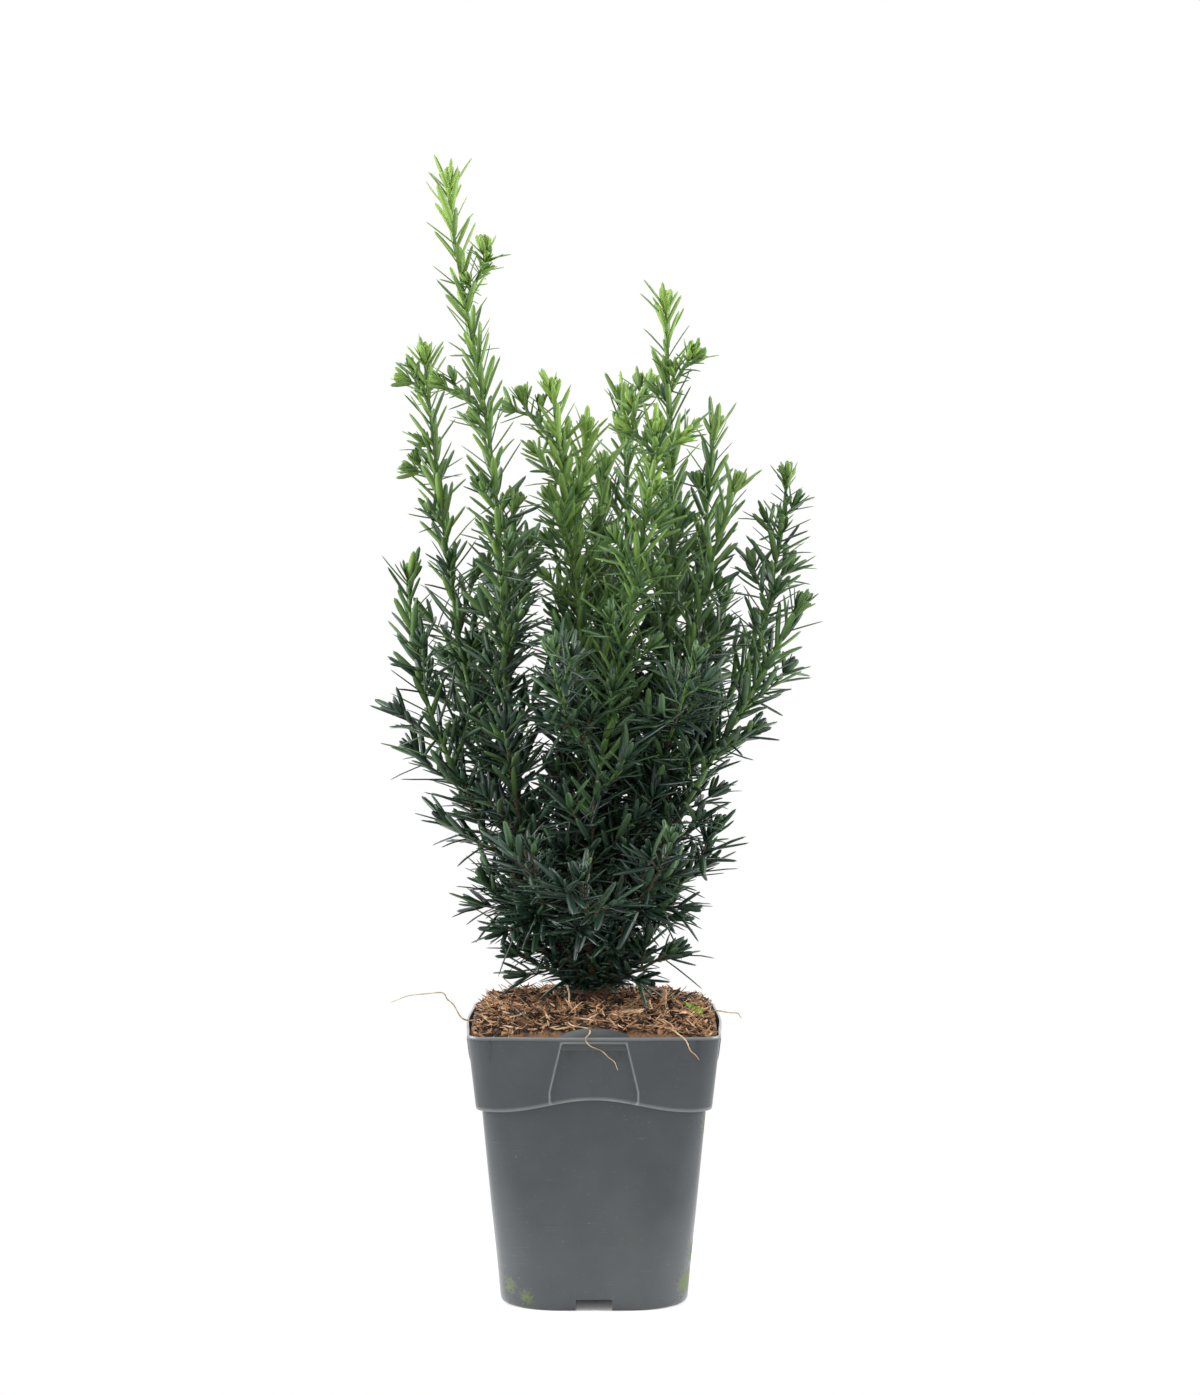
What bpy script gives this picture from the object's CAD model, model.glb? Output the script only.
import math

import bpy
import numpy as np
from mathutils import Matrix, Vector
from numpy.polynomial import polynomial


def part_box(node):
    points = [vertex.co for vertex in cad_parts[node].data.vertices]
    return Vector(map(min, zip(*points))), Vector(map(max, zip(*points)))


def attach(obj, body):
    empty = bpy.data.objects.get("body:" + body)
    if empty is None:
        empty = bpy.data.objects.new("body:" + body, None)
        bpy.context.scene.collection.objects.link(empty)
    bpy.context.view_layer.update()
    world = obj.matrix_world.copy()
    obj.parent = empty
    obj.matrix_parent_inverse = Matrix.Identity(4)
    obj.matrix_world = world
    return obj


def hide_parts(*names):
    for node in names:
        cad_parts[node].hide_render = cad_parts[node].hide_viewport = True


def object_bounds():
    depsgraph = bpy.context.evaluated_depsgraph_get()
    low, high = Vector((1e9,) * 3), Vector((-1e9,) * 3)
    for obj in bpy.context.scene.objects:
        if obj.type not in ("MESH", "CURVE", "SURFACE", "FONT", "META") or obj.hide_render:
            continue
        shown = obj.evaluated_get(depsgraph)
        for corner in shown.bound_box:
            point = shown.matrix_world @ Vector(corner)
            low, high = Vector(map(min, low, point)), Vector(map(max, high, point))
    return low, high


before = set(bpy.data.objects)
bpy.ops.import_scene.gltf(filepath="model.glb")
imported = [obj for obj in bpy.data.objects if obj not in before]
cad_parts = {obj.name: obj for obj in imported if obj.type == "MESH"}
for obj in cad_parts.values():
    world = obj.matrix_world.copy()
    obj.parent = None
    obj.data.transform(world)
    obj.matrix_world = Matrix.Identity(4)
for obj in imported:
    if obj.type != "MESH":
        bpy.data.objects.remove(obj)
cad_low, cad_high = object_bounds()

# POT
# The square nursery pot, moulded in one piece of dark grey plastic with a thin wall. Its collar stands
# proud of the body over an arched edge, and a recess for a label is moulded into each side of it.
pot_low, pot_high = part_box("pot")
POT_X = (pot_low.x + pot_high.x) / 2
POT_Y = (pot_low.y + pot_high.y) / 2
MM = 0.001
FOOT_HALF = 48.8
BODY_TOP_HALF = 57.8
COLLAR_FOOT = 105.6
COLLAR_START = 106.3
COLLAR_END = 142.8
COLLAR_FOOT_HALF = 60.8
COLLAR_TOP_HALF = 64.7
COLLAR_ARCH = 6.2
RIM_HALF = 65.2
RIM_BOW = 1.8
POT_HEIGHT = 145.0
NOTCH_HALF = 9.35
NOTCH_HEIGHT = 6.0
LABEL_TOP = 141.0
LABEL_TOP_HALF = 17.4
LABEL_FOOT_HALF = 23.4
LABEL_HEIGHT = 27.8
LABEL_EDGE = 1.7
LABEL_SINK = 1.0
LIP_RISE = 0.8
RIB_PLACES = (-53.0, -12.6, 13.2, 53.0)
TAB_HALF = 17.6
TAB_FOOT = 138.0
TAB_TOP = 149.3


class Thread:
    """A shader socket. Sums written with threads add their Math nodes to the material."""

    def __init__(self, tree, socket=None):
        self.tree = tree
        self.socket = socket

    def node(self, kind, settings, inputs, output=0):
        """Adds a node: its settings first, then the numbers or threads of its sockets."""
        made = self.tree.nodes.new(kind)
        for name, value in settings.items():
            setattr(made, name, value)
        for name, value in inputs.items():
            if isinstance(value, Thread):
                self.tree.links.new(value.socket, made.inputs[name])
            else:
                made.inputs[name].default_value = value
        return Thread(self.tree, made.outputs[output])

    def sum(self, operation, first, second=0.0, clamp=False):
        """A Math node on two numbers or threads."""
        settings = {"operation": operation, "use_clamp": clamp}
        return self.node("ShaderNodeMath", settings, {0: first, 1: second})

    def __add__(self, other):
        return self.sum("ADD", self, other)

    def __radd__(self, other):
        return self.sum("ADD", other, self)

    def __sub__(self, other):
        return self.sum("SUBTRACT", self, other)

    def __rsub__(self, other):
        return self.sum("SUBTRACT", other, self)

    def __mul__(self, other):
        return self.sum("MULTIPLY", self, other)

    def __rmul__(self, other):
        return self.sum("MULTIPLY", other, self)

    def held(self):
        """The value kept between 0 and 1."""
        return self.sum("ADD", self, 0.0, True)

    def step(self, low, high):
        """0 below low, 1 above high and a straight ramp between them."""
        return ((self - low) * (1 / (high - low))).held()

    def colours(self, first, second):
        """The first colour where this mask is 0 and the second where it is 1."""
        sockets = {0: self, 6: opaque(first), 7: opaque(second)}
        return self.node("ShaderNodeMix", {"data_type": "RGBA"}, sockets, 2)

    def noise(self, scale, detail=4.0, rough=0.5):
        """Cloudy noise over this place, so many patches to the metre."""
        sockets = {"Vector": self, "Scale": scale, "Detail": detail, "Roughness": rough}
        return self.node("ShaderNodeTexNoise", {}, sockets)

    def stretched(self, x, y, z):
        """This place with its three axes scaled."""
        return self.node("ShaderNodeMapping", {}, {"Vector": self, "Scale": (x, y, z)})

    def near(self, spot, size):
        """1 at a spot and 0 farther than size from it."""
        settings = {"operation": "DISTANCE"}
        away = self.node("ShaderNodeVectorMath", settings, {0: self, 1: spot}, 1)
        return 1 - (away * (1 / size)).held()

    def bump(self, strength, depth):
        """A normal from this height, depth in metres."""
        return self.node("ShaderNodeBump", {}, {"Height": self, "Strength": strength, "Distance": depth})


def opaque(tone):
    """A colour of three numbers made opaque, or a colour's thread as it is."""
    return tone if isinstance(tone, Thread) else (*tone, 1.0)


def finish(name, roughness=0.5, base=(0.5, 0.5, 0.5)):
    """A new material, its shader and the thread of the object's own coordinates."""
    made = bpy.data.materials.new(name)
    made.use_nodes = True
    tree = made.node_tree
    shader = tree.nodes["Principled BSDF"]
    shader.inputs["Base Color"].default_value = opaque(base)
    shader.inputs["Roughness"].default_value = roughness
    return made, shader, Thread(tree).node("ShaderNodeTexCoord", {}, {}, "Object")


def feed(shader, **sockets):
    """Links threads to the shader's sockets, named with an underscore for a space."""
    for name, thread in sockets.items():
        thread.tree.links.new(thread.socket, shader.inputs[name.replace("_", " ")])


def skin(rings):
    """Closed skins of an array (skins, rings, points, 3). Neighbouring rings are joined by four-sided
    faces, and the first and last ring of each skin are closed by a fan round their middle.
    Points that run anticlockwise about the way from ring to ring give faces that point out."""
    skins, rows, around, _ = rings.shape
    ends = np.stack([rings[:, 0].mean(1), rings[:, -1].mean(1)], 1)
    points = np.concatenate([rings.reshape(skins, rows * around, 3), ends], 1)
    step = np.arange(around)
    after = (step + 1) % around
    row = np.arange(rows - 1)[:, None] * around
    quads = np.stack([row + step, row + after, row + around + after, row + around + step], -1)
    last = (rows - 1) * around
    foot = np.stack([np.full(around, rows * around), after, step], -1)
    tip = np.stack([np.full(around, rows * around + 1), last + step, last + after], -1)
    shift = (np.arange(skins) * (rows * around + 2))[:, None, None]
    quads = (quads.reshape(1, -1, 4) + shift).reshape(-1, 4)
    thirds = (np.concatenate([foot, tip])[None] + shift).reshape(-1, 3)
    return points.reshape(-1, 3), quads, thirds


def unit(vectors):
    """Vectors scaled to a length of one."""
    return vectors / np.maximum(np.linalg.norm(vectors, axis=-1, keepdims=True), 1e-12)


def frames(paths):
    """Along, side and rise of each point of the paths: along is the slope of the path, side is along
    crossed with an axis that lies well off it, and rise is along crossed with side."""
    along = unit(np.gradient(paths, axis=1))
    mean = unit(paths[:, -1] - paths[:, 0])
    lean = np.abs(mean[:, 1:2]) > 0.8
    axis = np.where(lean, np.array([[1.0, 0, 0]]), np.array([[0, 1.0, 0]]))
    side = unit(np.cross(along, axis[:, None, :]))
    return along, side, np.cross(along, side)


def tubes(paths, radii):
    """Closed tubes: a circle of the radii (tubes, points, around) carried along each path."""
    _, side, rise = frames(paths)
    turn = np.linspace(0, 2 * np.pi, radii.shape[2], endpoint=False)
    spoke = side[:, :, None] * np.cos(turn)[:, None] + rise[:, :, None] * np.sin(turn)[:, None]
    return skin(paths[:, :, None] + spoke * radii[..., None])


def joined(shapes):
    """Several (points, quads, thirds) as one, with the number of the shape for each face."""
    counts = np.cumsum([0] + [len(shape[0]) for shape in shapes])
    points = np.concatenate([shape[0] for shape in shapes])
    quads = np.concatenate([shape[1] + start for shape, start in zip(shapes, counts)])
    thirds = np.concatenate([shape[2] + start for shape, start in zip(shapes, counts)])
    owners = [np.full(len(shape[1]), i) for i, shape in enumerate(shapes)]
    owners += [np.full(len(shape[2]), i) for i, shape in enumerate(shapes)]
    return points, quads, thirds, np.concatenate(owners)


def make_piece(name, shape, finishes, slots=None, smooth=True):
    """An object of the points, four-sided faces and three-sided faces of a shape. slots gives each
    face's material, four-sided faces first."""
    points, quads, thirds = shape[:3]
    mesh = bpy.data.meshes.new(name)
    corners = np.concatenate([quads.ravel(), thirds.ravel()]).astype(np.int32)
    starts = [np.arange(len(quads)) * 4, len(quads) * 4 + np.arange(len(thirds)) * 3]
    faces = len(quads) + len(thirds)
    mesh.vertices.add(len(points))
    mesh.vertices.foreach_set("co", points.astype(np.float32).ravel())
    mesh.loops.add(len(corners))
    mesh.loops.foreach_set("vertex_index", corners)
    mesh.polygons.add(faces)
    mesh.polygons.foreach_set("loop_start", np.concatenate(starts).astype(np.int32))
    mesh.polygons.foreach_set("use_smooth", np.full(faces, smooth))
    for made in finishes:
        mesh.materials.append(made)
    if slots is not None:
        mesh.polygons.foreach_set("material_index", slots.astype(np.int32))
    mesh.update(calc_edges=True)
    mesh.validate()
    piece = bpy.data.objects.new(name, mesh)
    bpy.context.scene.collection.objects.link(piece)
    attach(piece, "root")
    return piece


def collar_rise(height):
    """The share of the collar's face that lies below a height."""
    return (height - COLLAR_START) / (COLLAR_END - COLLAR_START)


def pot_rows():
    """The pot's profile from under its base, round the foot, up the outside, over the rim and down
    the inside: height, half-width, corner radius, bulge and share of the arch, row by row. The numbers
    of the collar's first row and of the row after its last come with it."""
    body = np.linspace(1.8, 105.3, 34)
    body_half = FOOT_HALF + (BODY_TOP_HALF - FOOT_HALF) * body / COLLAR_FOOT
    body_corner = 12 + 19 * (1 - body / COLLAR_FOOT) ** 1.2
    climb = np.clip((body - 50) / 55.3, 0, 1)
    collar = np.concatenate([np.linspace(COLLAR_START, 139.4, 24), [140.2, LABEL_TOP, 141.8, COLLAR_END]])
    rise = collar_rise(collar)
    rows = [
        [6.6, 43.4, 25.6, 0, 0],
        [0.9, 43.4, 25.6, 0, 0],
        [0.1, 44.0, 26.2, 0, 0],
        [0.0, 45.0, 27.0, 0, 0],
        [0.0, 46.9, 29.4, 0, 0],
        [0.5, 48.2, 30.4, 0, 0],
    ]
    rows += np.stack([body, body_half, body_corner, 0.3 * climb, climb], 1).tolist()
    rows += [[105.35, 58.6, 12, 0.4, 1], [105.4, 59.9, 12, 0.5, 1], [105.6, 60.5, 12, 0.5, 1]]
    collar_half = COLLAR_FOOT_HALF + (COLLAR_TOP_HALF - COLLAR_FOOT_HALF) * rise
    spread = np.stack([collar, collar_half, 12 - 2.5 * rise, 0.5 + 1.3 * rise, 1 - rise], 1)
    first = len(rows)
    rows += spread.tolist()
    last = len(rows)
    rows += [
        [143.0, 65.05, 9.5, RIM_BOW, 0],
        [143.4, RIM_HALF, 9.5, RIM_BOW, 0],
        [144.4, RIM_HALF, 9.5, RIM_BOW, 0],
        [144.85, RIM_HALF - 0.15, 9.5, RIM_BOW, 0],
        [POT_HEIGHT, RIM_HALF - 0.5, 9.2, RIM_BOW, 0],
        [144.9, RIM_HALF - 1.2, 8.3, RIM_BOW, 0],
        [144.3, RIM_HALF - 1.4, 8.1, RIM_BOW, 0],
        [125.0, 61.6, 9.5, 0.9, 0.5],
        [108.2, 59.4, 10.6, 0.5, 1],
        [104.2, 56.4, 10.6, 0.3, 1],
        [60.0, 52.4, 16.0, 0, 0],
        [10.2, 48.0, 27.0, 0, 0],
        [8.0, 44.4, 26.0, 0, 0],
    ]
    return np.array(rows), first, last


def on_side(across, out, height, quarter):
    """Places across a side of the pot, out from its axis and up, turned by quarters round the axis."""
    cosine, sine = math.cos(quarter * math.pi / 2), math.sin(quarter * math.pi / 2)
    return np.stack([across * cosine + out * sine, across * sine - out * cosine, height], -1)


def pot_rings(rows, first, last):
    """Rings round the pot. Along a side the columns follow the notch's edge and the slanting edge of
    the label recess, so that both stay sharp. The recess sinks behind a fine raised lip. A side bulges,
    and the collar's foot arches up, by the squared cosine of the way to the corner. The second array is
    1 where edges are rubbed pale: the lip, the collar's foot and the rim."""
    inner = np.concatenate([np.linspace(0, 1, 8), [1.02], np.linspace(1, 2, 9)[1:]])
    outer = np.concatenate([np.linspace(2, 3, 7)[1:], np.linspace(3, 4, 13)[1:]])
    half_side = np.concatenate([inner, outer])
    side = np.concatenate([-half_side[:0:-1], half_side])
    corner_turn = np.linspace(0, np.pi / 2, 16)[1:-1]
    place = np.concatenate([side, np.full(len(corner_turn), 4.0)])
    turn = np.concatenate([np.zeros(len(side)), corner_turn])
    height, half, corner, bow, arch = [column[:, None] for column in rows.T]
    straight = half - corner
    slant = (LABEL_FOOT_HALF - LABEL_TOP_HALF) / LABEL_HEIGHT
    panel = np.clip(LABEL_TOP_HALF + (LABEL_TOP - height) * slant, LABEL_TOP_HALF, LABEL_FOOT_HALF)
    panel = np.minimum(panel, 0.8 * straight)
    breaks = [np.minimum(NOTCH_HALF, 0.55 * straight), panel - LABEL_EDGE, panel, straight]
    reach = np.abs(place)
    x = breaks[0] * np.clip(reach, 0, 1)
    for i in range(1, 4):
        x = x + (breaks[i] - breaks[i - 1]) * np.clip(reach - i, 0, 1)
    swell = np.where(turn > 0, 0.0, np.cos(np.clip(x / straight, 0, 1) * np.pi / 2) ** 2)
    x = x * np.sign(place) + corner * np.sin(turn)
    order = np.arange(len(rows))[:, None]
    on_collar = (order >= first) & (order <= last)
    sink = np.clip(3 - reach, 0, 1) * np.clip(LABEL_TOP + 0.4 - height, 0, 1) * on_collar
    lip = np.clip(1 - np.abs(reach - 2.55) / 0.45, 0, 1) * on_collar * (height < LABEL_TOP + 0.2)
    bar = np.clip(1 - np.abs(height - LABEL_TOP - 0.6) / 0.9, 0, 1) * on_collar * (reach < 3)
    out = half - corner + corner * np.cos(turn) + bow * swell
    out = out - LABEL_SINK * sink + LIP_RISE * lip + 0.5 * bar
    z = height + COLLAR_ARCH * arch * swell
    in_notch = (reach <= 1.0) & (turn == 0) & (height < NOTCH_HEIGHT)
    z = np.where(in_notch, NOTCH_HEIGHT, z)
    foot_line = np.clip(1 - np.abs(height - 105.9) / 0.9, 0, 1) * (np.abs(order - first) <= 3)
    rim_line = np.clip(1 - np.abs(height - 144.4) / 1.5, 0, 1)
    worn = np.maximum(np.maximum(lip, 0.75 * bar), np.maximum(foot_line, 0.7 * rim_line) + 0 * reach)
    return np.concatenate([on_side(x, out, z, quarter) for quarter in range(4)], 1), np.tile(worn, 4)


def rib_tubes():
    """Fine upright ribs under the rim, four to a side: straight lines up the collar's face, which bulges
    by a squared cosine, and 0.75 mm farther in on the label."""
    height = np.linspace(131.6, 142.6, 5)
    face = COLLAR_FOOT_HALF + (COLLAR_TOP_HALF - COLLAR_FOOT_HALF) * collar_rise(height)
    paths = []
    for quarter in range(4):
        for across in RIB_PLACES:
            inside = 0.75 * (abs(across) < LABEL_TOP_HALF)
            bulge = 1.6 * math.cos(across / 55.2 * math.pi / 2) ** 2
            paths.append(on_side(across, face + bulge - inside + 0.05, height, quarter))
    paths = np.array(paths)
    taper = np.array([0.1, 0.36, 0.42, 0.46, 0.5])
    return tubes(paths, np.broadcast_to(taper[None, :, None], (len(paths), 5, 6)))


def tab_skin():
    """The low curved tabs behind the rim, at the front and the back: an outline carried from end to end
    of each, its top falling away with the 2.6th power of the way from the middle."""
    across = np.linspace(-TAB_HALF, TAB_HALF, 29)
    top = TAB_TOP - 3.6 * np.abs(across / TAB_HALF) ** 2.6
    outline = np.array([[64.2, 0], [64.2, 1], [63.9, 1.06], [63.1, 1.06], [62.8, 1], [62.8, 0]])
    bulge = 1.7 * np.cos(across / 56 * np.pi / 2)[:, None] ** 2
    out = outline[None, ::-1, 0] + bulge
    height = TAB_FOOT + (top[:, None] - TAB_FOOT) * outline[None, ::-1, 1] * 0.95
    x = np.broadcast_to(across[:, None], out.shape)
    tabs = [np.stack([x, -out, height], -1), np.stack([-x, out, height], -1)]
    return skin(np.array(tabs))


def on_pot(shape):
    """A shape in millimetres from the pot's axis, put in its place in metres."""
    return (shape[0] * MM + np.array([POT_X, POT_Y, 0]), *shape[1:])


def pot_finish():
    """Satin dark plastic: cloudy patches, fine scratches along the sides, pale dust specks, smears of
    soil, edges rubbed pale, and green algae on the right edge and at the foot."""
    made, shader, place = finish("pot_plastic", 0.4)
    cloud = place.noise(28, 5)
    base = cloud.step(0.3, 0.75).colours((0.038, 0.044, 0.048), (0.056, 0.063, 0.067))
    scratch = place.stretched(30, 30, 900).noise(1.0, 6, 0.7).step(0.62, 0.78)
    base = (scratch * 0.3).colours(base, (0.10, 0.105, 0.11))
    worn = place.node("ShaderNodeAttribute", {"attribute_name": "worn_edge"}, {}, 2)
    base = (worn * (0.55 + 0.6 * cloud)).held().colours(base, (0.24, 0.25, 0.255))
    speck = place.noise(1300, 1).step(0.765, 0.79)
    base = (speck * 0.5).colours(base, (0.26, 0.25, 0.23))
    dirt = place.noise(120, 6, 0.65).step(0.56, 0.70) * place.noise(14, 2).step(0.52, 0.66)
    base = (dirt * 0.4).colours(base, (0.07, 0.052, 0.035))
    spots = [
        ((POT_X + 0.0560, -0.045, 0.098), 0.016),
        ((POT_X + 0.0475, -0.033, 0.012), 0.022),
        ((POT_X + 0.0500, -0.030, 0.028), 0.018),
        ((POT_X - 0.0340, -0.043, 0.007), 0.014),
        ((POT_X - 0.0420, -0.038, 0.012), 0.014),
    ]
    algae = place.near(*spots[0])
    for spot, size in spots[1:]:
        algae = algae.sum("MAXIMUM", algae, place.near(spot, size))
    moss = (algae * 1.25 * place.noise(620, 8, 0.75)).step(0.40, 0.55)
    green = place.noise(700, 3).colours((0.035, 0.06, 0.012), (0.16, 0.22, 0.04))
    base = (moss * 0.8).colours(base, green)
    rough = 0.17 + 0.12 * cloud + 0.10 * scratch + 0.5 * moss
    height = place.noise(1500, 3) * 0.25 + cloud * 0.3 + moss * 2.0 + dirt * 0.6
    feed(shader, Base_Color=base, Roughness=rough, Normal=height.bump(0.35, 0.0004))
    return made


pot_skin_rings, worn_edge = pot_rings(*pot_rows())
pot_shape = on_pot(joined([skin(pot_skin_rings[None]), rib_tubes(), tab_skin()]))
pot = make_piece("moulded_pot", pot_shape, [pot_finish()])
pot.data.set_sharp_from_angle(angle=math.radians(40))
worn_all = np.zeros(len(pot_shape[0]))
worn_all[: worn_edge.size] = worn_edge.ravel()
pot.data.attributes.new("worn_edge", "FLOAT", "POINT").data.foreach_set("value", worn_all.astype(np.float32))
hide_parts("pot")

# SOIL
# Moist fibrous peat, pressed in by hand and mounded a little over the rim. Loose fibres, crumbs and
# bits of old bark lie on it, and a tuft of moss grows at the right.
SOIL_EDGE = 143.4
SOIL_TOP = 153.2
SOIL_HALF = 64.0
SOIL_BOTTOM = 120.0
SOIL_SIDE = 138.0
MOUND_HALF = 64.5
LITTER_HALF = 61.0
soil_seed = np.random.default_rng(11)


def relief(x, y, seed, rough):
    """Uneven ground: waves of many lengths and headings added up, shorter ones lower."""
    dice = np.random.default_rng(seed)
    total = np.zeros_like(x)
    for i in range(34):
        pitch = 2 * np.pi / (22.0 * 0.9**i)
        heading = dice.uniform(0, 2 * np.pi)
        wave = np.sin(pitch * (x * np.cos(heading) + y * np.sin(heading)) + dice.uniform(0, 6.28))
        total = total + wave * rough * 0.93**i
    return total


def ground(x, y):
    """The soil's height: a mound that falls with the seventh power of the way to the rim, made uneven.
    The way is measured so that places equally far out lie on a rounded square."""
    way = (np.abs(x / MOUND_HALF) ** 5 + np.abs(y / MOUND_HALF) ** 5) ** 0.2
    rise = (SOIL_TOP - SOIL_EDGE) * np.clip(1 - way**7, 0, 1)
    return SOIL_EDGE + rise + relief(x, y, 5, 0.72) * np.clip((1.0 - way) * 7, 0.15, 1)


def soil_rings():
    """Rings of rounded squares from under the soil, up its side and in over the mound."""
    turn = np.linspace(0, 2 * np.pi, 220, endpoint=False) - 0.75 * np.pi
    cosine, sine = np.cos(turn), np.sin(turn)
    outline = 1 / (np.abs(cosine) ** 9 + np.abs(sine) ** 9) ** (1 / 9)
    share = np.concatenate([[0.86, 0.97], np.linspace(1, 0.02, 74)])[:, None]
    x = SOIL_HALF * share * outline * cosine
    y = SOIL_HALF * share * outline * sine
    z = ground(x, y)
    z[0] = SOIL_BOTTOM
    z[1] = SOIL_SIDE
    return np.stack([x, y, z], -1)


def soil_finish():
    """Dark moist peat, orange brown where fibres dry out."""
    made, shader, place = finish("peat", 0.95)
    fibre = place.stretched(1, 1, 0.6).noise(650, 8, 0.72)
    tone = fibre.step(0.36, 0.66).colours((0.024, 0.015, 0.009), (0.24, 0.135, 0.07))
    tone = place.noise(55, 4).step(0.50, 0.62).colours(tone, (0.26, 0.13, 0.06))
    tone = place.noise(70, 3).step(0.54, 0.68).colours(tone, (0.020, 0.013, 0.009))
    feed(shader, Base_Color=tone, Normal=fibre.bump(0.9, 0.0012))
    return made


def loose_finish(name, dark, light):
    """Dry plant matter between two tones, its grain fine."""
    made, shader, place = finish(name, 0.9)
    grain = place.noise(800, 5, 0.7)
    tone = place.noise(160, 3).step(0.38, 0.62).colours(dark, light)
    feed(shader, Base_Color=tone, Normal=grain.bump(0.7, 0.0004))
    return made


def scattered(count, limit=LITTER_HALF):
    """Places spread over the soil, inside the rim."""
    x = soil_seed.uniform(-limit, limit, count)
    y = soil_seed.uniform(-limit, limit, count)
    return x, y


def fibres(count, length, thick):
    """Fibres lying about on the soil: bent paths through four points, as thin three-sided tubes."""
    x, y = scattered(count)
    heading = soil_seed.uniform(0, 2 * np.pi, count)
    tilt = soil_seed.normal(0, 0.42, count)
    reach = soil_seed.uniform(0.4, 1.0, count) * length
    share = np.linspace(-0.5, 0.5, 4)[None]
    curl = soil_seed.normal(0, 0.35, (count, 1)) * (share**2 - 0.1) * reach[:, None]
    px = x[:, None] + share * reach[:, None] * np.cos(heading)[:, None] - curl * np.sin(heading)[:, None]
    py = y[:, None] + share * reach[:, None] * np.sin(heading)[:, None] + curl * np.cos(heading)[:, None]
    px = np.clip(px, 1 - SOIL_HALF, SOIL_HALF - 1)
    py = np.clip(py, 1 - SOIL_HALF, SOIL_HALF - 1)
    lift = soil_seed.uniform(0.0, 2.2, count)[:, None]
    pz = ground(x, y)[:, None] + lift + share * np.sin(tilt)[:, None] * reach[:, None]
    radius = thick * soil_seed.uniform(0.6, 1.3, (count, 1, 1)) * np.array([0.5, 1, 0.9, 0.4])[None, :, None]
    return tubes(np.stack([px, py, pz], -1), np.broadcast_to(radius, (count, 4, 3)))


def crumbs(count, size):
    """Small lumps: two uneven five-sided rings closed at both ends."""
    x, y = scattered(count, LITTER_HALF - 1)
    radius = soil_seed.uniform(0.5, 1.25, count) * size
    turn = np.linspace(0, 2 * np.pi, 5, endpoint=False) + soil_seed.uniform(0, 6, (count, 2, 1))
    wide = radius[:, None, None] * soil_seed.uniform(0.6, 1.1, (count, 2, 5))
    height = ground(x, y)[:, None, None] + radius[:, None, None] * np.array([-0.25, 0.6])[None, :, None]
    px = x[:, None, None] + wide * np.cos(turn)
    py = y[:, None, None] + wide * np.sin(turn)
    pz = height + soil_seed.uniform(-0.2, 0.2, (count, 2, 5)) * radius[:, None, None]
    return skin(np.stack([px, py, pz], -1))


soil = make_piece("peat_soil", on_pot(skin(soil_rings()[None])), [soil_finish()])
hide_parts("soil")
straw = loose_finish("straw_fibre", (0.32, 0.19, 0.10), (0.60, 0.42, 0.26))
rust = loose_finish("rust_fibre", (0.14, 0.065, 0.032), (0.46, 0.25, 0.12))
black = loose_finish("black_crumb", (0.012, 0.008, 0.006), (0.05, 0.030, 0.018))
thin_litter = [fibres(1500, 12, 0.38), fibres(1500, 10, 0.55), fibres(900, 8, 0.6)]
litter = joined([*thin_litter, crumbs(900, 1.9), crumbs(1300, 2.1)])
litter_slots = np.array([0, 1, 2, 1, 2])[litter[3]]
make_piece("peat_litter", on_pot(litter), [straw, rust, black], litter_slots, False)

# MOSS
# A tuft of bright moss at the right of the soil: short stems packed together, each one a soft spike.
MOSS_X = 50.5
MOSS_Y = -22.0
MOSS_SPREAD = 4.6
MOSS_TALL = 4.6
moss_count = 260
moss_turn = soil_seed.uniform(0, 2 * np.pi, moss_count)
moss_way = MOSS_SPREAD * np.sqrt(soil_seed.uniform(0, 1, moss_count))
moss_x = MOSS_X + moss_way * np.cos(moss_turn)
moss_y = MOSS_Y + moss_way * np.sin(moss_turn)
moss_lean = np.stack([np.cos(moss_turn), np.sin(moss_turn)], -1) * moss_way[:, None] * 0.22
moss_share = np.linspace(0, 1, 4)
moss_base = ground(moss_x, moss_y) + 0.4
moss_tall = MOSS_TALL - 0.35 * moss_way + soil_seed.uniform(-0.5, 0.7, moss_count)
moss_paths = np.stack(
    [
        moss_x[:, None] + moss_lean[:, :1] * moss_share**2 * 2,
        moss_y[:, None] + moss_lean[:, 1:] * moss_share**2 * 2,
        moss_base[:, None] + moss_tall[:, None] * moss_share,
    ],
    -1,
)
moss_radii = np.broadcast_to(np.array([0.5, 0.62, 0.42, 0.06])[None, :, None], (moss_count, 4, 5))
moss_green = loose_finish("moss", (0.12, 0.24, 0.02), (0.42, 0.58, 0.07))
make_piece("moss_tuft", on_pot(tubes(moss_paths, moss_radii)), [moss_green])

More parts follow.
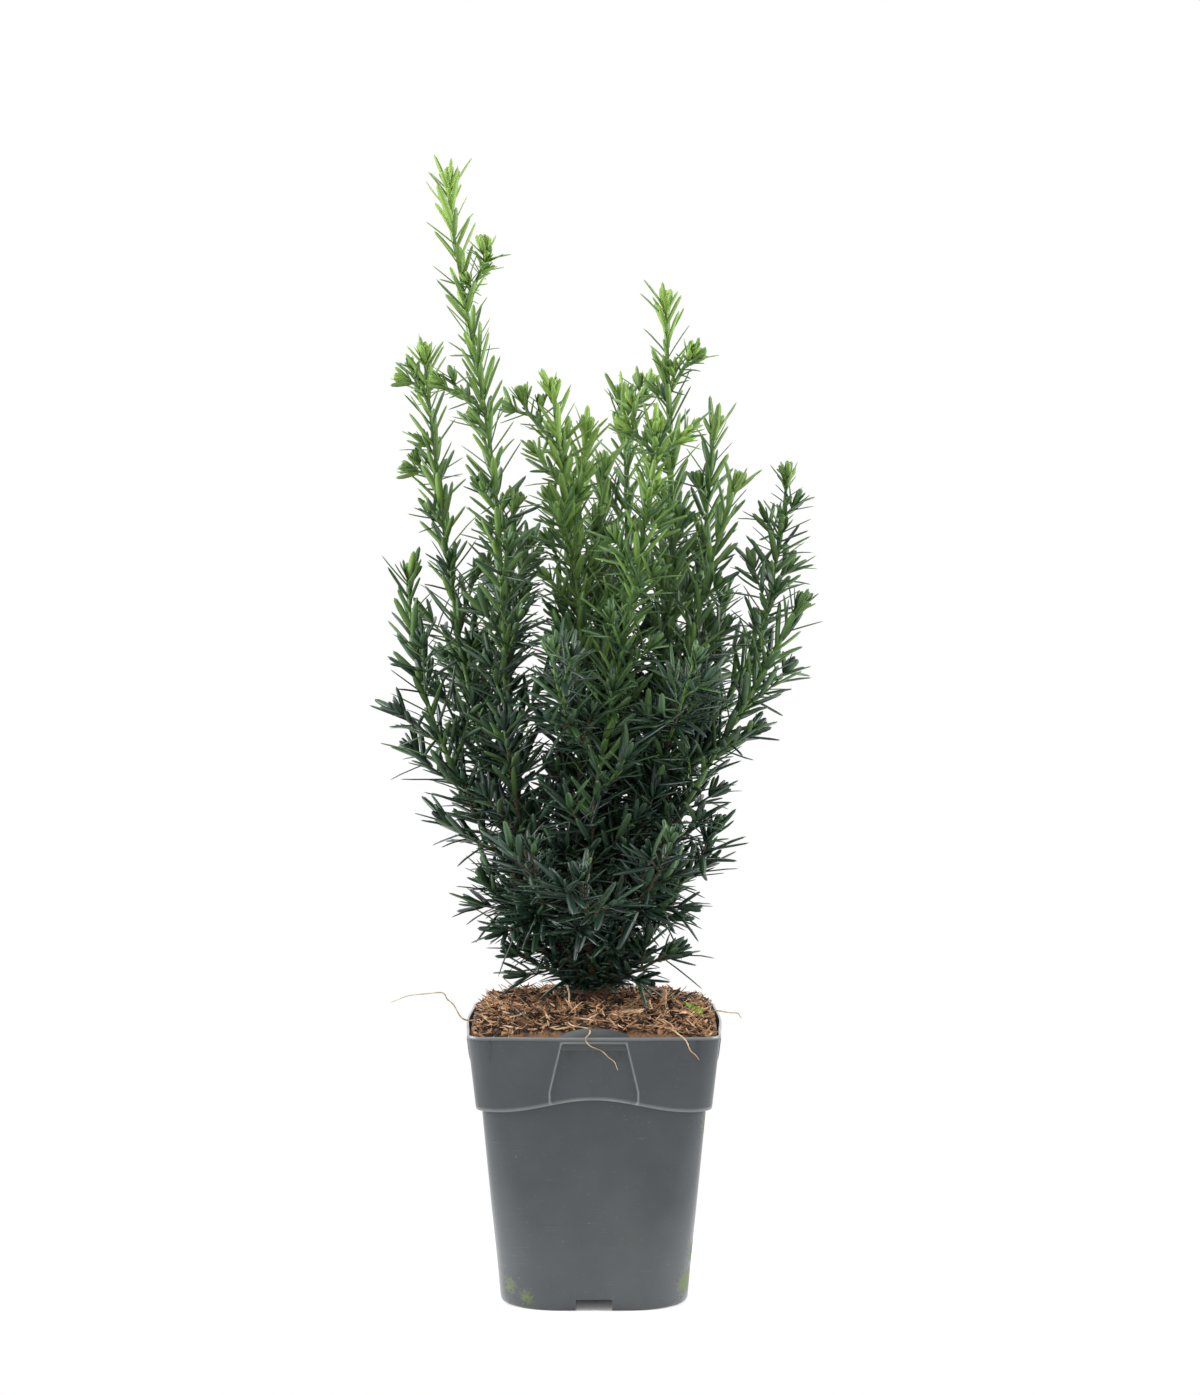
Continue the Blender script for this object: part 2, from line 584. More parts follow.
# ROOTS
# Stray fine roots and a chip of old bark. The roots wander over the soil and hang over the rim, and one
# long one reaches out to the left.
ROOT_POINTS = 36
CHIP_X = 36.5
CHIP_Y = -24
CHIP_FOOT = 149
CHIP_TALL = 15
ROOT_LINES = (
    ([-14, -50, 151], [-11.6, -60, 150.6], [-2, -66, 148.2], [-4.5, -68.2, 143.5],
     [3.1, -68, 138.4], [9.7, -67.4, 133.3], [12.2, -66.8, 128.3]),
    ([38, -60, 149], [44.1, -66.6, 146.2], [49.6, -66.6, 138.4], [53.7, -65.6, 133.3]),
    ([-58, -20, 147], [-67.6, -20, 147.6], [-74.9, -20, 156.6],
     [-80.1, -20, 161.3], [-95.7, -20, 160], [-106, -20, 156.4]),
    ([-13.8, -40, 168.2], [-12.6, -41, 161], [-11.3, -42, 155.3], [-4.6, -44, 149.5]),
    ([52, -24, 149], [61.3, -20, 151.6], [73.3, -20, 151.0], [76.9, -20, 148.3]),
    ([-24, -56, 148.5], [-17, -63.5, 149], [-9, -60, 149.6], [0, -64.5, 148.6]),
)


def root_path(line):
    """A smooth curve through a root's spots: each part is a cubic arc whose slopes are half the way
    between its neighbours. A slow wave, still at both ends, lets it wander."""
    spots = np.array(line, float)
    slopes = np.gradient(spots, axis=0)
    share = np.linspace(0, len(spots) - 1, ROOT_POINTS)
    part = np.minimum(share.astype(int), len(spots) - 2)
    t = (share - part)[:, None]
    start, stop = spots[part], spots[part + 1]
    first, last = slopes[part], slopes[part + 1]
    curve = (2 * t**3 - 3 * t**2 + 1) * start + (t**3 - 2 * t**2 + t) * first
    curve = curve + (3 * t**2 - 2 * t**3) * stop + (t**3 - t**2) * last
    wander = np.sin(share * 5.3 + spots[0, 0])[:, None] * np.array([[0.35, 0.1, 0.3]])
    return curve + wander * np.sin(np.pi * np.linspace(0, 1, ROOT_POINTS))[:, None]


root_paths = np.array([root_path(line) for line in ROOT_LINES])
root_knots = 1 + 0.18 * np.sin(np.arange(ROOT_POINTS) * 2.1)
root_taper = np.linspace(0.48, 0.16, ROOT_POINTS) * root_knots
root_radii = np.broadcast_to(root_taper[None, :, None], (len(ROOT_LINES), ROOT_POINTS, 6))
chip_rows = np.linspace(0, 1, 7)
chip_turn = np.linspace(0, 2 * np.pi, 10, endpoint=False)
chip_wide = (2.6 - 1.7 * chip_rows)[:, None] * np.cos(chip_turn) + 0.5 * np.sin(chip_rows * 9)[:, None]
chip_deep = 0.8 * np.sin(chip_turn)[None] * np.ones((7, 1))
chip_high = (CHIP_FOOT + CHIP_TALL * chip_rows)[:, None] + 0 * chip_wide
chip = np.stack([CHIP_X + chip_wide, CHIP_Y + chip_deep, chip_high], -1)
root_tan = loose_finish("root_skin", (0.28, 0.18, 0.09), (0.50, 0.38, 0.22))
make_piece("stray_roots", on_pot(tubes(root_paths, root_radii)), [root_tan])
make_piece("bark_chip", on_pot(skin(chip[None])), [straw])

# STUMP AND BOUGHS
# The short trunk forks just over the soil into slender boughs. All are live wood in reddish brown bark
# that splits into narrow lifting scales.
stump_low, stump_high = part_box("stump")
FORK = np.array([(stump_low.x + stump_high.x) / 2, (stump_low.y + stump_high.y) / 2, stump_high.z])


def welded(node):
    """A CAD node's corners, each once."""
    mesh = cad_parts[node].data
    corners = np.empty(len(mesh.vertices) * 3)
    mesh.vertices.foreach_get("co", corners)
    return np.unique(np.round(corners.reshape(-1, 3), 6), axis=0)


def limb_line(node, power, count):
    """The middle line of a long node, from its foot to its tip, and its reach at each point: low powers
    of the way along its longest spread, fitted to its corners by least squares. The corners at its two
    ends weigh most in the line and are left out of the reach."""
    corners = welded(node)
    middle = corners.mean(0)
    spread = np.linalg.svd(corners - middle, full_matrices=False)[2][0]
    way = (corners - middle) @ spread
    low, high = way.min(), way.max()
    share = (way - low) / (high - low)
    weight = np.where((share < 1e-6) | (share > 1 - 1e-6), 12.0, 1.0)
    fit = polynomial.polyfit(share, corners, power, w=weight)
    steps = np.linspace(0, 1, count)
    line = polynomial.polyval(steps, fit).T
    away = np.linalg.norm(corners - polynomial.polyval(share, fit).T, axis=1)
    inner = weight < 2
    reach_fit = polynomial.polyfit(share[inner], away[inner], 2)
    reach = np.clip(polynomial.polyval(steps, reach_fit), 0.005, 0.03)
    if np.linalg.norm(line[0] - FORK) > np.linalg.norm(line[-1] - FORK):
        line, reach = line[::-1], reach[::-1]
    return line, reach


def scaly(rows, around, seed, depth):
    """Bark relief as a factor on the radius: ridges that wander round the stem as they climb, broken
    across where the scales end."""
    dice = np.random.default_rng(seed)
    climb = np.arange(rows)[:, None]
    turn = np.arange(around)[None] / around * 2 * np.pi
    ridge = np.sin(3 * turn + 0.21 * climb + dice.uniform(0, 6))
    ridge = ridge + np.sin(5 * turn - 0.33 * climb + dice.uniform(0, 6))
    broken = np.sin(1.7 * climb + 2 * np.sin(2 * turn + dice.uniform(0, 6)))
    return 1 + depth * (0.5 * ridge + 0.5 * broken)


def bark_finish():
    """Reddish brown bark with grey lifted scales and dark cracks, drawn out along the stems."""
    made, shader, place = finish("yew_bark", 0.85)
    flake = place.stretched(1, 1, 0.25).noise(700, 6, 0.65)
    tone = flake.step(0.36, 0.62).colours((0.030, 0.014, 0.009), (0.17, 0.075, 0.045))
    tone = (place.noise(260, 4).step(0.55, 0.7) * 0.6).colours(tone, (0.20, 0.15, 0.11))
    feed(shader, Base_Color=tone, Normal=flake.bump(0.8, 0.0007))
    return made


BOUGH_FOOT = 0.0024
BOUGH_TIP = 0.0015
BOUGH_SOCKET = 0.004
STUMP_ROWS = 40
STUMP_AROUND = 72
STUMP_NARROW = 0.0112
STUMP_FLARE = 0.0036
bark = bark_finish()
bough_names = sorted(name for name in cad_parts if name.startswith("bough_"))
bough_lines = []
bough_skins = []
for number, name in enumerate(bough_names):
    line, _ = limb_line(name, 4, 40)
    slope_foot = unit(line[0] - line[1])
    slope_tip = unit(line[-1] - line[-2])
    ends = [line[0] + slope_foot * BOUGH_SOCKET, line[-1] + slope_tip * BOUGH_SOCKET]
    line = np.concatenate([ends[:1], line, ends[1:]])
    bough_lines.append(line)
    taper = np.linspace(BOUGH_FOOT, BOUGH_TIP, len(line))[:, None]
    bough_skins.append(tubes(line[None], (taper * scaly(len(line), 14, number, 0.09))[None]))
boughs = make_piece("bark_boughs", joined(bough_skins), [bark])
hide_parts(*bough_names)

stump_rows = np.linspace(0, 1, STUMP_ROWS)
stump_turn = np.linspace(0, 2 * np.pi, STUMP_AROUND, endpoint=False)
stump_z = stump_low.z - 0.002 + (stump_high.z + 0.001 - stump_low.z) * stump_rows
flare = STUMP_NARROW + STUMP_FLARE * (1 - stump_rows) ** 2.5
lobes = 1 + (0.10 * (1 - stump_rows) ** 1.5)[:, None] * np.sin(5 * stump_turn + 0.6)[None]
stump_radius = flare[:, None] * lobes * scaly(STUMP_ROWS, STUMP_AROUND, 77, 0.035)
stump_radius[-3:] *= np.array([0.97, 0.86, 0.6])[:, None]
stump_mid = FORK[None] + np.stack([0 * stump_rows, 0 * stump_rows, stump_z - FORK[2]], -1)
stump_shape = tubes(stump_mid[None], stump_radius[None])
stump = make_piece("bark_stump", stump_shape, [bark])
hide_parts("stump")

# SHOOTS AND NEEDLES
# Each limb ends in a live shoot that carries side twigs and flat leathery needles. Needles stand round
# the upright leaders and lie in two ranks on the spreading shoots, and a tight tuft of young ones ends
# every shoot. The growth is by rule, from one seed, along the limbs of the frame.
growth = np.random.default_rng(2024)
GOLDEN = math.radians(137.5)
UP = np.array([0.0, 0.0, 1.0])
NEEDLE_WIDTH = 0.0031
NEEDLE_SPACING = 0.0017
TWIG_SPACING = 0.013
BOUGH_TWIG_SPACING = 0.0075
LEADER_TUFT = 0.0150
SIDE_TUFT = 0.0135
LEADER_STEM = 0.0015
SIDE_STEM = 0.0011
STEM_TIP = 0.00075
TWIG_TIP = 0.0005
SHOOT_POINTS = 40
TWIG_POINTS = 7
CROWN_LOW = 0.20
CROWN_HIGH = 0.56
needle_rows = []
stem_paths = []
stem_radii = []
twig_paths = []
twig_radii = []
# The heads at the front, paler than the rest.
LIT_HEADS = (
    "foliage_front",
    "foliage_front_left_head",
    "foliage_front_right_head",
    "foliage_centre",
    "foliage_centre_left",
)


def along_path(path, ways):
    """Places and slopes at ways along a path, in metres from its foot."""
    steps = np.linalg.norm(np.diff(path, axis=0), axis=1)
    total = np.concatenate([[0], np.cumsum(steps)])
    spots = np.stack([np.interp(ways, total, path[:, i]) for i in range(3)], -1)
    slope = np.gradient(path, axis=0)
    heading = unit(np.stack([np.interp(ways, total, slope[:, i]) for i in range(3)], -1))
    return spots, heading


def path_length(path):
    """The length of a path, its steps added up."""
    return np.linalg.norm(np.diff(path, axis=0), axis=1).sum()


def grow_needles(path, spacing, long_foot, long_tip, open_foot, open_tip, level, start=0.0):
    """Needles in a spiral of the golden angle along a shoot. Length goes from foot to tip with the 1.5th
    power of the way, and the opening angle evenly. The more a shoot leans over, the more its needles are
    combed out to both sides."""
    length = path_length(path)
    ways = np.arange(start + spacing, length, spacing)
    if len(ways) < 1:
        return
    ways = ways + growth.uniform(-0.3, 0.3, len(ways)) * spacing
    share = np.clip(ways / length, 0, 1)
    spots, axis = along_path(path, ways)
    lean = np.clip((np.sqrt(np.clip(1 - axis[:, 2:] ** 2, 0, 1)) - 0.35) * 1.8, 0, 1)
    turn = np.arange(len(ways)) * GOLDEN + growth.uniform(0, 6.28) + growth.uniform(-0.35, 0.35, len(ways))
    level_side = unit(np.cross(axis, UP) + np.array([[1e-4, 0, 0]]))
    upper = np.cross(level_side, axis)
    spoke = level_side * np.cos(turn)[:, None] + upper * np.sin(turn)[:, None] * (1 - 0.72 * lean)
    spoke = unit(spoke)
    opening = np.radians(open_foot + (open_tip - open_foot) * share + growth.normal(0, 8, len(ways)))
    along = unit(axis * np.cos(opening)[:, None] + spoke * np.sin(opening)[:, None])
    face = axis * (1 - lean) + (UP + 0.25 * axis) * lean + growth.normal(0, 0.16, (len(ways), 3))
    long = (long_foot + (long_tip - long_foot) * share**1.5) * growth.uniform(0.78, 1.14, len(ways))
    wide = NEEDLE_WIDTH * growth.uniform(0.85, 1.15, len(ways)) * np.clip(long / 0.02, 0.75, 1.1)
    bend = growth.normal(-0.05, 0.07, len(ways)) - 0.05 * lean[:, 0]
    shade = level + 0.18 * share**3 + growth.normal(0, 0.075, len(ways))
    add_needles(spots, along, face, long, wide, bend, shade)


def grow_tuft(tip, axis, count, long, level):
    """The tight tuft at a shoot's end: short needles that close in round the bud."""
    rank = np.arange(count)
    turn = rank * GOLDEN + growth.uniform(0, 6.28)
    side = unit(np.cross(axis, UP + np.array([0.3, 0.2, 0])))
    rise = np.cross(side, axis)
    spoke = side * np.cos(turn)[:, None] + rise * np.sin(turn)[:, None]
    opening = np.radians(12 + 30 * (rank / count) + growth.normal(0, 5, count))[:, None]
    along = unit(axis * np.cos(opening) + spoke * np.sin(opening))
    size = long * (0.62 + 0.38 * rank / count) * growth.uniform(0.85, 1.1, count)
    spots = tip - axis * (0.0035 * rank / count)[:, None]
    face = np.repeat(axis[None], count, 0) + growth.normal(0, 0.1, (count, 3))
    shade = level + 0.04 + 0.15 * np.interp(tip[2], [0.30, 0.44], [0, 1]) + growth.normal(0, 0.05, count)
    bend = growth.normal(0.06, 0.05, count)
    add_needles(spots, along, face, size, np.full(count, NEEDLE_WIDTH), bend, shade)


def add_needles(spots, along, face, long, wide, bend, shade):
    """Keeps needles as rows: base, heading, upper side, length, width, bend and lightness."""
    columns = [spots, along, face, long[:, None], wide[:, None], bend[:, None], shade[:, None]]
    needle_rows.append(np.concatenate(columns, 1))


def grow_twig(spot, axis, turn, opening, length, level, long):
    """A side twig: it leaves the shoot at an angle, bends up by the square of the way, and carries
    needles and a tuft."""
    side = unit(np.cross(axis, UP + np.array([0.31, 0.17, 0])))
    rise = np.cross(side, axis)
    out = side * math.cos(turn) + rise * math.sin(turn)
    heading = axis * math.cos(opening) + out * math.sin(opening)
    share = np.linspace(0, 1, TWIG_POINTS)[:, None]
    path = spot + heading * length * share + UP * 0.22 * length * share**2
    twig_paths.append(path)
    twig_radii.append(np.linspace(STEM_TIP, TWIG_TIP, TWIG_POINTS))
    grow_needles(path, NEEDLE_SPACING, long, long * 0.85, 60, 42, level + 0.03, start=0.001)
    grow_tuft(path[-1], unit(path[-1] - path[-2]), 6, long * 0.66, level - 0.03)


foliage_names = sorted(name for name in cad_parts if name.startswith("foliage_"))
leaders = [name.replace("bough_", "foliage_") for name in bough_names]
trunk = FORK - UP * np.linspace(0.020, 0.0, 12)[:, None]
carriers = np.concatenate([trunk, *bough_lines, *[limb_line(name, 5, 60)[0] for name in leaders]])


def crown_share(height):
    """The share of the crown's height that lies below a height."""
    return np.clip((height - CROWN_LOW) / (CROWN_HIGH - CROWN_LOW), 0, 1)


def lightness(height):
    """How light the needles are at a height: a little at the foot, and more with the 1.3th power of the
    way up the crown."""
    return 0.08 + 0.64 * crown_share(height) ** 1.3


def rooted(line):
    """A side shoot's line led back to the limb that carries it: a curve from the nearest lower point of
    a limb to the line's foot, its slope going over into the line's."""
    heading = unit(line[4] - line[0])
    below = carriers[carriers[:, 2] < max(line[0, 2] - 0.004, FORK[2])]
    aim = line[0] - heading * 0.006 - UP * 0.010
    start = below[np.argmin(np.linalg.norm(below - aim, axis=1))]
    gap = np.linalg.norm(line[0] - start)
    t = np.linspace(0, 1, 10)[:-1, None]
    middle = line[0] - heading * 0.45 * gap
    curve = (1 - t) ** 2 * start + 2 * t * (1 - t) * middle + t**2 * line[0]
    return np.concatenate([curve, line])


def clothe_shoot(spots, reach, leader, paler):
    """Needles along a shoot, section by section. They shorten and close up on the way to its tip, and
    stand out at most 1.6 times as far as the frame's own mass does there."""
    sections = 8 if leader else 3
    wide_reach = np.interp(np.linspace(0, 1, sections), np.linspace(0, 1, len(reach)), reach)
    for part in range(sections):
        lower = int(part * (SHOOT_POINTS - 1) / sections)
        upper = int((part + 1) * (SHOOT_POINTS - 1) / sections) + 1
        share = (part + 0.5) / sections
        path = spots[lower:upper]
        height = path[:, 2].mean()
        level = lightness(height) + paler * share**1.3 + 0.08 * leader
        if leader:
            long = 0.0300 - 0.0100 * share
            opening = 60 - 30 * share
        else:
            long = np.interp(height, [0.18, 0.30, 0.38, 0.46], [0.021, 0.027, 0.025, 0.018])
            long -= 0.003 * share
            opening = 66 - 22 * share
        long = min(long, 1.6 * wide_reach[part] / math.sin(math.radians(opening)))
        spacing = NEEDLE_SPACING + 0.0005 * share * leader
        grow_needles(path, spacing, long, long * 0.97, opening, opening - 3, level)


def branch_shoot(line, reach, keep, leader, lit, paler):
    """Side twigs up a shoot, each turned by the golden angle from the last, on the share of the line
    that is kept below the tuft. They are shorter high in the crown and on low side shoots, longer on
    the lit heads, and sparse on the other leaders' ends."""
    length = path_length(line)
    twigs = int(length / (TWIG_SPACING + 0.0005 * leader))
    for number in range(twigs):
        share = (number + 0.7) / (twigs + 0.6)
        sparse = leader and share > 0.55 and number % 3 and not lit
        if share > 0.86 or sparse:
            continue
        spot, axis = along_path(line, np.array([share * keep * length]))
        size = np.interp(share, np.linspace(0, 1, len(reach)), reach)
        turn = number * GOLDEN + growth.uniform(-0.4, 0.4)
        rise = crown_share(spot[0, 2])
        twig_length = (0.017 + size) * growth.uniform(0.5, 1.2) * (1 - rise) ** 1.2 + 0.004
        twig_length += 0.010 * lit * share
        if not leader:
            twig_length *= np.interp(spot[0, 2], [0.18, 0.30], [0.45, 1.0])
        level = lightness(spot[0, 2]) - 0.07 + paler * share
        opening = math.radians(growth.uniform(34, 52))
        grow_twig(spot[0], axis[0], turn, opening, twig_length, level, 0.0260 - 0.0120 * rise)


for name in foliage_names:
    leader = name in leaders
    lit = name in LIT_HEADS
    line, reach = limb_line(name, 5 if leader else 2, 60)
    if not leader:
        line = rooted(line)
    length = path_length(line)
    tuft_long = LEADER_TUFT if leader else SIDE_TUFT
    keep = max(0.5, 1 - tuft_long * 0.8 / length)
    spots, _ = along_path(line, np.linspace(0, keep * length, SHOOT_POINTS))
    paler = growth.uniform(-0.06, 0.06) + 0.22 * lit
    stem_paths.append(spots)
    stem_radii.append(np.linspace(LEADER_STEM if leader else SIDE_STEM, STEM_TIP, SHOOT_POINTS))
    clothe_shoot(spots, reach, leader, paler)
    level = lightness(spots[-1, 2]) + paler + 0.06
    grow_tuft(spots[-1], unit(spots[-1] - spots[-3]), 15 if leader else 12, tuft_long, level)
    branch_shoot(line, reach, keep, leader, lit, paler)

# The boughs carry needles too, and short twigs that lengthen on the way up. More twigs sprout from the
# top of the stump.
for line in bough_lines:
    length = path_length(line)
    grow_needles(line, 0.0020, 0.020, 0.026, 68, 60, level=0.05, start=0.001)
    twigs = int(length / BOUGH_TWIG_SPACING)
    for number in range(twigs):
        share = (number + 0.5) / twigs
        spot, axis = along_path(line, np.array([share * length]))
        turn = number * GOLDEN + growth.uniform(-0.5, 0.5)
        size = growth.uniform(0.006, 0.013) + 0.020 * share
        opening = math.radians(growth.uniform(44, 78))
        grow_twig(spot[0], axis[0], turn, opening, size, level=0.04, long=0.019 + 0.004 * share)

trunk_line = FORK - UP * np.linspace(0.012, 0.0, 12)[:, None]
for number in range(22):
    spot = trunk_line[number % 12]
    opening = math.radians(growth.uniform(35, 80))
    size = growth.uniform(0.008, 0.017)
    grow_twig(spot, UP, number * GOLDEN, opening, size, level=0.03, long=0.017)


def needle_skins(rows):
    """Needles as flat keeled blades. The middle line leaves the base along the needle and bends by the
    square of the way. Width grows from a short stalk, holds, and closes in a point. The four corners of
    each ring are the right edge, the ridge, the left edge and the keel."""
    base, along, face = rows[:, 0:3], unit(rows[:, 3:6]), rows[:, 6:9]
    long, wide, bend = rows[:, 9:10], rows[:, 10:11], rows[:, 11:12]
    face = unit(face - along * (face * along).sum(1, keepdims=True))
    side = np.cross(face, along)
    share = np.array([0.0, 0.08, 0.30, 0.70, 0.92])
    width = np.array([0.24, 0.78, 1.0, 0.98, 0.66]) * 0.5
    corner_side = np.array([1.0, 0.0, -1.0, 0.0])
    corner_face = np.array([-0.05, 0.13, -0.05, -0.11])
    middle = base[:, None] + along[:, None] * (long * share)[..., None]
    middle = middle + face[:, None] * (bend * long * share**2)[..., None]
    ring = side[:, None, None] * (wide * width)[:, :, None, None] * corner_side[:, None]
    thick = (wide * np.array([0.6, 0.9, 1.0, 0.9, 0.6]))[:, :, None, None]
    ring = ring + face[:, None, None] * thick * corner_face[:, None]
    rings = (middle[:, :, None] + ring).reshape(len(rows), 20, 3)
    tip = base + along * long + face * bend * long
    points = np.concatenate([rings, tip[:, None]], 1).reshape(-1, 3)
    step = np.arange(4)
    after = (step + 1) % 4
    row = np.arange(4)[:, None] * 4
    quads = np.stack([row + step, row + after, row + 4 + after, row + 4 + step], -1).reshape(-1, 4)
    quads = np.concatenate([quads, [[3, 2, 1, 0]]])
    thirds = np.stack([np.full(4, 20), 16 + step, 16 + after], -1)
    quad_slot = np.concatenate([np.tile([0, 0, 1, 1], 4), [1]])
    third_slot = np.array([0, 0, 1, 1])
    shift = (np.arange(len(rows)) * 21)[:, None, None]
    slots = np.concatenate([np.tile(quad_slot, len(rows)), np.tile(third_slot, len(rows))])
    return points, (quads[None] + shift).reshape(-1, 4), (thirds[None] + shift).reshape(-1, 3), slots


# Needle colours from the shaded blue green at the foot to the lime of the young tips, each with the
# paler colour of its underside. A needle that would end farther past the frame's box than the overhang
# is left out, and each mass of the frame goes to the piece of the tint that is commonest near it.
OVERHANG = 0.0125
TINT_STEPS = 6.4
PIECE_NEEDLES = 5000
TINTS = (
    ("shaded", (0.009, 0.027, 0.017), (0.038, 0.080, 0.046)),
    ("deep", (0.016, 0.048, 0.020), (0.060, 0.120, 0.050)),
    ("middle", (0.031, 0.086, 0.021), (0.090, 0.172, 0.050)),
    ("fresh", (0.058, 0.136, 0.023), (0.122, 0.222, 0.050)),
    ("light", (0.100, 0.204, 0.026), (0.150, 0.262, 0.052)),
    ("young", (0.170, 0.305, 0.030), (0.205, 0.345, 0.060)),
)
rows = np.concatenate(needle_rows)
needle_ends = rows[:, 0:3] + unit(rows[:, 3:6]) * rows[:, 9:10]
inside = (needle_ends > np.array(cad_low) - OVERHANG) & (needle_ends < np.array(cad_high) + OVERHANG)
rows = rows[inside.all(1)]
tint = np.clip((rows[:, 12] * TINT_STEPS).astype(int), 0, len(TINTS) - 1)
masses = np.array([welded(name).mean(0) for name in foliage_names])
pieces = []
for number, (tone, upper_colour, under_colour) in enumerate(TINTS):
    chosen = rows[tint == number]
    upper_green = finish(f"needle_{tone}_upper", 0.36, upper_colour)[0]
    under_green = finish(f"needle_{tone}_under", 0.55, under_colour)[0]
    for batch in range(0, len(chosen), PIECE_NEEDLES):
        points, quads, thirds, slots = needle_skins(chosen[batch : batch + PIECE_NEEDLES])
        name = f"needles_{tone}_{batch // PIECE_NEEDLES + 1}"
        blades = (points, quads, thirds)
        piece = make_piece(name, blades, [upper_green, under_green], slots)
        pieces.append((number, piece))
nearest = np.argmin(np.linalg.norm(rows[:, None, 0:3] - masses[None], axis=2), axis=1)
for index, name in enumerate(foliage_names):
    mine = tint[nearest == index]
    common = int(np.bincount(mine, minlength=len(TINTS)).argmax()) if len(mine) else 0
    holder = [piece for number, piece in pieces if number == common][0]
    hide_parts(name)


BROWN_BELOW = 0.285


def stem_finish(name, dark, light, rough):
    """Young stems, ridged lengthwise."""
    made, shader, place = finish(name, rough)
    ridge = place.stretched(1, 1, 0.2).noise(900, 4, 0.6)
    tone = ridge.step(0.35, 0.65).colours(dark, light)
    feed(shader, Base_Color=tone, Normal=ridge.bump(0.5, 0.0003))
    return made


old_stem = stem_finish("brown_stem", (0.040, 0.028, 0.016), (0.11, 0.085, 0.045), 0.8)
green_stem = stem_finish("green_stem", (0.055, 0.12, 0.028), (0.13, 0.24, 0.05), 0.5)


def stem_piece(name, paths, radii, around):
    """Shoots as tubes, brown where they are low in the crown and green above."""
    paths = np.array(paths)
    radii = np.broadcast_to(np.array(radii)[..., None], (*paths.shape[:2], around))
    points, quads, thirds = tubes(paths, radii)
    spots = np.concatenate([points[quads[:, 0]], points[thirds[:, 0]]])
    wave = 0.02 * np.sin(spots[:, 0] * 140) + 0.02 * np.sin(spots[:, 1] * 170)
    slots = (spots[:, 2] + wave > BROWN_BELOW).astype(int)
    return make_piece(name, (points, quads, thirds), [old_stem, green_stem], slots)


stem_piece("live_shoots", stem_paths, stem_radii, 8)
stem_piece("side_twigs", twig_paths, twig_radii, 5)

# STUDIO
# A plain white floor that goes over into a white surround, soft lights from above, both sides and the
# front, and the camera at the photograph's angle.
floor_turn = np.linspace(0, 2 * np.pi, 96, endpoint=False)
floor_way = np.array([12.0, 6.0, 2.0, 1.0, 0.5, 0.25, 0.1])[:, None]
floor_x = floor_way * np.cos(floor_turn)
floor_y = floor_way * np.sin(floor_turn)
floor_rings = np.stack([floor_x, floor_y, 0 * floor_x], -1)
floor_points, floor_quads, floor_thirds = skin(floor_rings[None])
floor_mesh = bpy.data.meshes.new("floor")
floor_faces = [*floor_quads.tolist(), *floor_thirds[len(floor_turn) :].tolist()]
floor_mesh.from_pydata(floor_points.tolist(), [], floor_faces)
floor = bpy.data.objects.new("floor", floor_mesh)
bpy.context.scene.collection.objects.link(floor)
floor_white, floor_shader, floor_place = finish("floor_white", 0.9, (0.93, 0.93, 0.93))
floor_tree = floor_white.node_tree
spread = 1 - floor_place.near((POT_X, 0.0, 0.0), 0.36)
glow = floor_place.node("ShaderNodeEmission", {}, {"Color": (1, 1, 1, 1), "Strength": 1.0})
lit_floor = Thread(floor_tree, floor_shader.outputs[0])
blend = floor_place.node("ShaderNodeMixShader", {}, {0: spread.step(0.05, 0.62), 1: lit_floor, 2: glow})
floor_tree.links.new(blend.socket, floor_tree.nodes["Material Output"].inputs["Surface"])
floor_mesh.materials.append(floor_white)

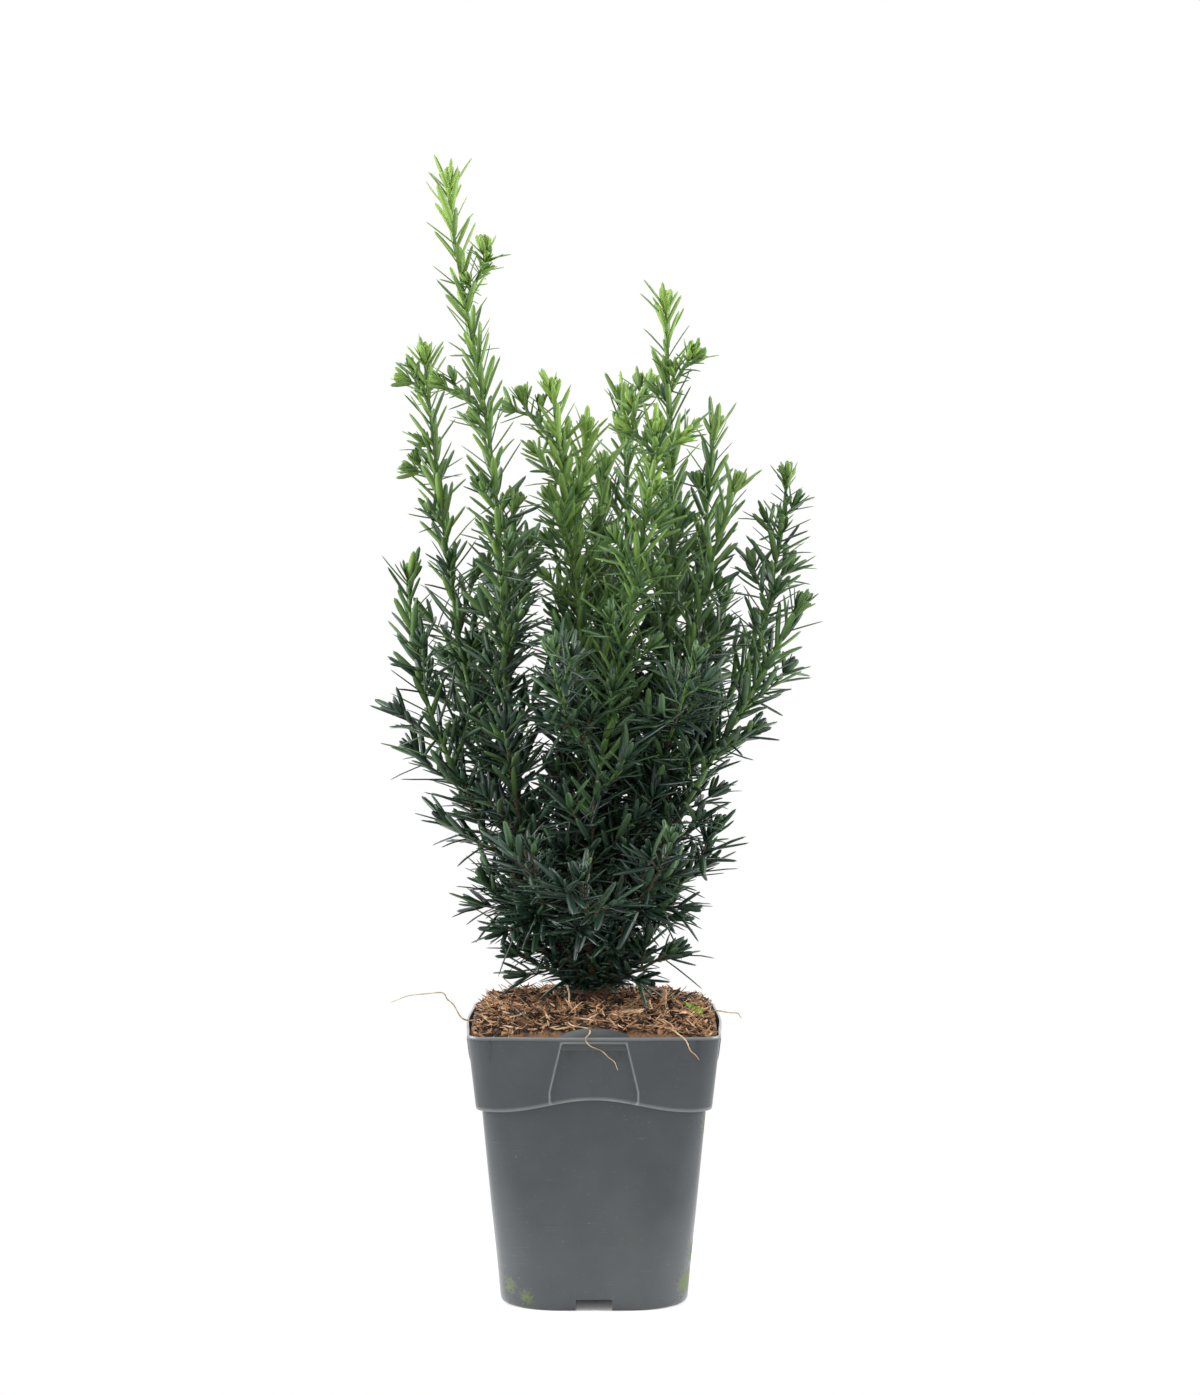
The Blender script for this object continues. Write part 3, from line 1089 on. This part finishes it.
# The surround looks white everywhere, and gives the shrub less light from the front than from behind.
world = bpy.data.worlds.new("white_surround")
world.use_nodes = True
sky = Thread(world.node_tree).node("ShaderNodeTexCoord", {}, {}, "Generated")
forward = sky.node("ShaderNodeSeparateXYZ", {}, {"Vector": sky}, 1)
seen = sky.node("ShaderNodeLightPath", {}, {}, 0)
lit = 0.50 + 0.85 * forward.step(-0.75, 0.15)
strength = seen + (1 - seen) * lit
backdrop = world.node_tree.nodes["Background"]
backdrop.inputs["Color"].default_value = (1, 1, 1, 1)
world.node_tree.links.new(strength.socket, backdrop.inputs["Strength"])
bpy.context.scene.world = world
bpy.context.scene.view_settings.view_transform = "Standard"


def soft_light(name, spot, aim, size, power):
    """A square light of that size at a spot, turned to its aim."""
    lamp = bpy.data.lights.new(name, "AREA")
    lamp.size = size
    lamp.energy = power
    made = bpy.data.objects.new(name, lamp)
    made.location = spot
    made.rotation_euler = (Vector(aim) - Vector(spot)).to_track_quat("-Z", "Y").to_euler()
    bpy.context.scene.collection.objects.link(made)


soft_light("overhead", (0.0, -0.3, 1.9), (0, 0, 0.35), 1.2, 14)
soft_light("from_left", (-1.5, -0.12, 0.6), (0, 0, 0.25), 1.3, 40)
soft_light("from_right", (1.5, -0.12, 0.6), (0, 0, 0.25), 1.3, 36)
soft_light("from_front", (-0.5, -2.6, 1.3), (0, 0, 0.4), 1.2, 12)

PHOTO_WIDTH = 1200
PHOTO_HEIGHT = 1395
FOCAL_PIXELS = 3824
SENSOR = 36
CAMERA_RIGHT = 0.0031
CAMERA_AWAY = 2.0
CAMERA_HEIGHT = 0.435
CAMERA_DOWN = 3.45
camera_data = bpy.data.cameras.new("camera")
camera_data.sensor_fit = "VERTICAL"
camera_data.sensor_height = SENSOR
camera_data.sensor_width = SENSOR * PHOTO_WIDTH / PHOTO_HEIGHT
camera_data.lens = FOCAL_PIXELS / PHOTO_HEIGHT * SENSOR
camera = bpy.data.objects.new("camera", camera_data)
camera.location = (POT_X + CAMERA_RIGHT, -CAMERA_AWAY, CAMERA_HEIGHT)
camera.rotation_euler = (math.radians(90 - CAMERA_DOWN), 0, 0)
bpy.context.scene.collection.objects.link(camera)
bpy.context.scene.camera = camera
